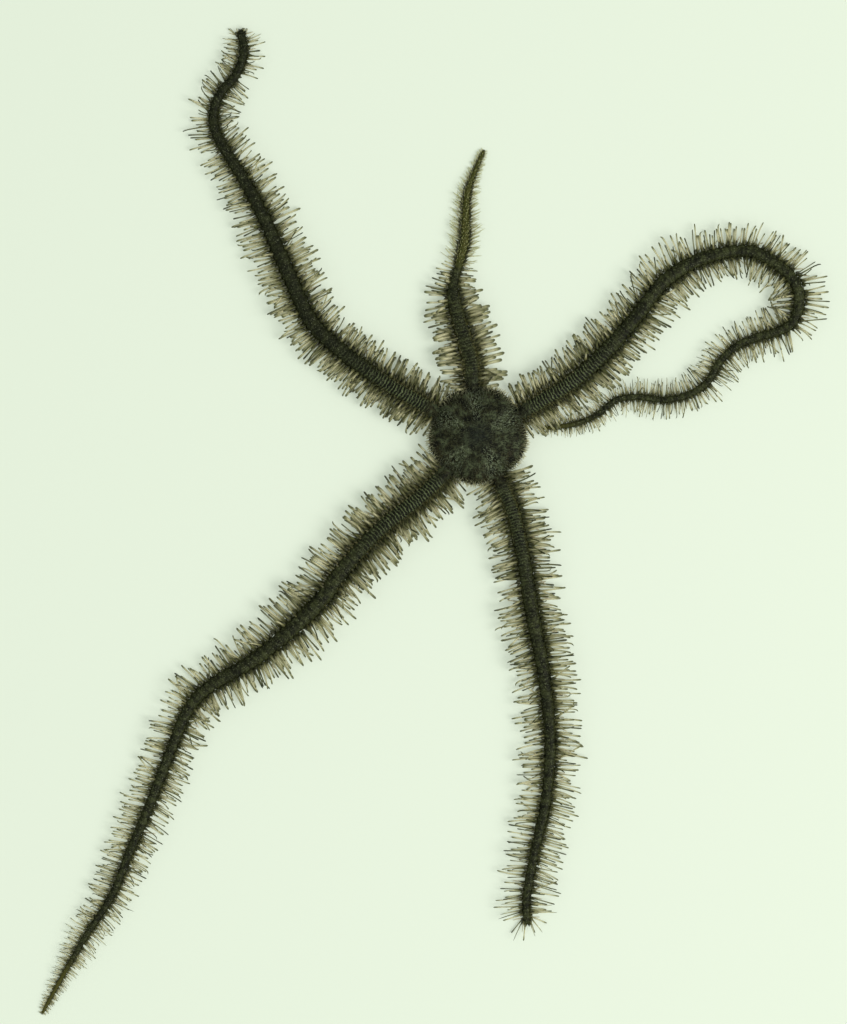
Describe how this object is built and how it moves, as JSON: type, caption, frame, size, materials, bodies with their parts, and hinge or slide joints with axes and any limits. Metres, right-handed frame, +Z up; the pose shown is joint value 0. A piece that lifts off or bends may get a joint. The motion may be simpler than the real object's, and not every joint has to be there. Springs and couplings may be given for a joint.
{
  "type": "brittle star",
  "caption": "Brittle star lying flat, aboral side up: a small lobed disc with its mouth beneath, and long tapering spiny arms, one regrown at its tip and one curled back to the disc.",
  "frame": {"origin": "middle of the mouth, on the plane that the underside rests on", "axes": "+Z up, towards the aboral side; +Y along the animal's greatest extent, between the regrown arm and the hooked arm; +X towards the looped arm"},
  "size_m": [0.0844, 0.1052, 0.0042],
  "materials": {
    "arm_skin": "damp limestone plates under thin olive-brown skin, satin",
    "disc_skin": "leathery dark olive skin over fine scales, matt",
    "mouth_skin": "paler limestone jaws and shields, satin"
  },
  "bodies": {
    "root": {"disc": "disc_skin", "mouth": "mouth_skin", "regrown_arm_1": "arm_skin", "regrown_arm_2": "arm_skin", "looped_arm_1": "arm_skin", "looped_arm_2": "arm_skin", "looped_arm_3": "arm_skin", "looped_arm_4": "arm_skin", "looped_arm_5": "arm_skin", "looped_arm_6": "arm_skin", "straight_arm_1": "arm_skin", "straight_arm_2": "arm_skin", "straight_arm_3": "arm_skin", "long_arm_1": "arm_skin", "long_arm_2": "arm_skin", "long_arm_3": "arm_skin", "long_arm_4": "arm_skin", "hooked_arm_1": "arm_skin", "hooked_arm_2": "arm_skin", "hooked_arm_3": "arm_skin", "hooked_arm_4": "arm_skin"}
  },
  "joints": []
}
